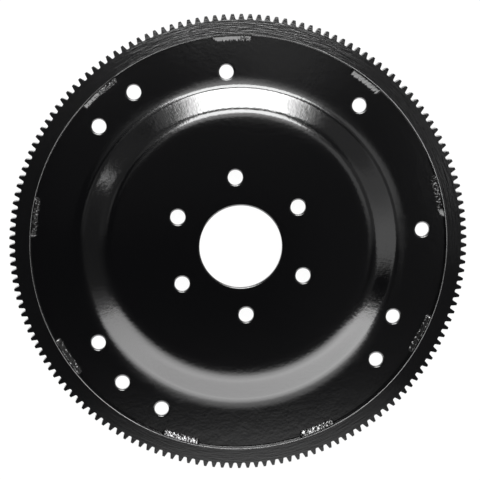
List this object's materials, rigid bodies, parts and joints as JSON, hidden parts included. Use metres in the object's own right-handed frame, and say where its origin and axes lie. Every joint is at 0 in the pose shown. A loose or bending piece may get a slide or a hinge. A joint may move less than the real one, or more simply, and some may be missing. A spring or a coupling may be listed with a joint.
{
  "type": "flexplate",
  "caption": "Dished pressed-steel flexplate painted black, with a starter ring gear welded round its rim, a centre pilot bore and bolt circles for crankshaft and torque converter.",
  "frame": {"origin": "on the plate's axis, in the plane of the ring gear's back face, on which it lies", "axes": "+Z along the axis out of the front, the side with the raised hub and the welds; +X through a hole of the wide three-hole converter circle"},
  "size_m": [0.3614, 0.3614, 0.0149],
  "materials": {
    "disc_paint": "gloss black paint with a fine orange peel",
    "ring_paint": "thin satin black over turned steel",
    "weld_metal": "rough rippled weld metal under thin black paint"
  },
  "bodies": {
    "root": {"flexplate_disc": "disc_paint", "ring_gear": "ring_paint", "weld_bead_1": "weld_metal", "weld_bead_2": "weld_metal", "weld_bead_3": "weld_metal", "weld_bead_4": "weld_metal", "weld_bead_5": "weld_metal", "weld_bead_6": "weld_metal", "weld_bead_7": "weld_metal", "weld_bead_8": "weld_metal", "weld_bead_9": "weld_metal"}
  },
  "joints": []
}
